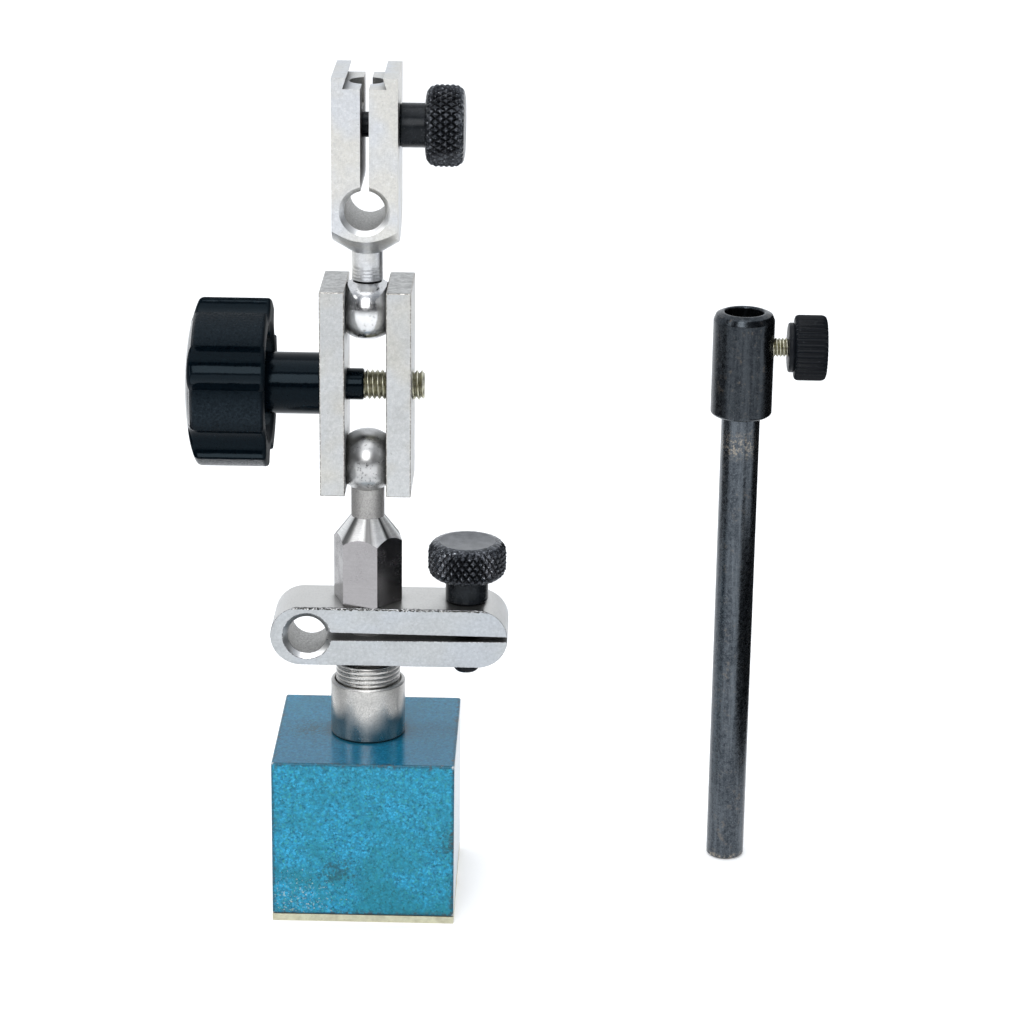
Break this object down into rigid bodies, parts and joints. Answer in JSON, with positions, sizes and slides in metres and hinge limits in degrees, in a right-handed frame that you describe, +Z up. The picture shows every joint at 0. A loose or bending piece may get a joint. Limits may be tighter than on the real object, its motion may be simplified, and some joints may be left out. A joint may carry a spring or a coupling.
{
  "type": "magnetic base indicator stand",
  "caption": "Small square magnetic base with a split rod clamp bar, double-ball swivel arm, dovetail indicator clamp and a separate extension rod.",
  "frame": {"origin": "centre of the base's bottom face, on the stand's axis", "axes": "+Z up along the stand's axis, +X towards the bar's clamp screw, -Y towards the front"},
  "size_m": [0.1301, 0.0446, 0.1748],
  "materials": {
    "blue_paint": "blue hammertone paint, slightly chipped",
    "magnet": "ferrite block, ground",
    "brass": "ground flush",
    "pole_steel": "ground, yellowed by lacquer",
    "zinc_screws": "zinc plated",
    "turned_steel": "turned, bright",
    "ground_steel": "zinc plated over ground faces",
    "polished_steel": "polished",
    "black_oxide": "black oxide, satin",
    "black_plastic": "moulded, glossy",
    "ridged_plastic": "moulded, satin",
    "black_rod": "black oxide with worn specks",
    "yellow_zinc": "yellow zinc plated"
  },
  "bodies": {
    "base": {"base_housing": "blue_paint", "magnet_front": "magnet", "magnet_rear": "magnet", "magnet_spacer": "brass", "pole_plate_front": "pole_steel", "pole_plate_rear": "pole_steel", "pole_spacer": "brass", "pole_screws": "zinc_screws", "base_post": "turned_steel", "post_collar": "turned_steel"},
    "bar": {"clamp_bar": "ground_steel", "hex_ball_post": "turned_steel"},
    "bar_screw": {"bar_screw": "black_oxide"},
    "lower_ball": {"lower_ball": "polished_steel"},
    "arm": {"left_plate": "ground_steel"},
    "knob": {"star_knob": "black_plastic", "knob_stud": "yellow_zinc"},
    "outer_plate": {"right_plate": "ground_steel"},
    "upper_ball": {"upper_ball": "polished_steel"},
    "holder": {"dovetail_clamp": "ground_steel"},
    "holder_screw": {"holder_screw": "black_oxide"},
    "rod": {"rod_shank": "black_rod", "rod_head": "black_rod"},
    "rod_screw": {"rod_screw_knob": "ridged_plastic", "rod_screw_stud": "yellow_zinc"}
  },
  "joints": [
    {"name": "bar_swivel", "type": "hinge", "parent": "base", "child": "bar", "pos_m": [0, 0, 0.0523], "axis": [0, 0, 1], "continuous": true},
    {"name": "bar_screw_turn", "type": "hinge", "parent": "bar", "child": "bar_screw", "pos_m": [0.0204, 0, 0.0648], "axis": [0, 0, 1], "range_deg": [0, 270]},
    {"name": "lower_twist", "type": "hinge", "parent": "bar", "child": "lower_ball", "pos_m": [0, 0, 0.0947], "axis": [0, 0, 1], "continuous": true},
    {"name": "lower_swing", "type": "hinge", "parent": "lower_ball", "child": "arm", "pos_m": [0, 0, 0.0947], "axis": [1, 0, 0], "range_deg": [-90, 90]},
    {"name": "knob_turn", "type": "hinge", "parent": "arm", "child": "knob", "pos_m": [0, 0, 0.1107], "axis": [-1, 0, 0], "range_deg": [0, 270]},
    {"name": "plate_release", "type": "slide", "parent": "arm", "child": "outer_plate", "axis": [1, 0, 0], "range_m": [0, 0.00075]},
    {"name": "upper_swing", "type": "hinge", "parent": "arm", "child": "upper_ball", "pos_m": [0, 0, 0.1267], "axis": [1, 0, 0], "range_deg": [-60, 60]},
    {"name": "upper_twist", "type": "hinge", "parent": "upper_ball", "child": "holder", "pos_m": [0, 0, 0.1267], "axis": [0, 0, 1], "continuous": true},
    {"name": "holder_screw_turn", "type": "hinge", "parent": "holder", "child": "holder_screw", "pos_m": [0.0065, 0, 0.1639], "axis": [1, 0, 0], "range_deg": [0, 270]},
    {"name": "rod_lift", "type": "slide", "parent": "base", "child": "rod", "axis": [0, 0, 1], "range_m": [0, 0.06]},
    {"name": "rod_screw_turn", "type": "hinge", "parent": "rod", "child": "rod_screw", "pos_m": [0.0765, 0.019, 0.1145], "axis": [1, 0, 0], "range_deg": [0, 270]}
  ],
  "couplings": [
    {"joint": "knob_turn", "follows": "plate_release", "rad_per_m": 6283.2}
  ]
}
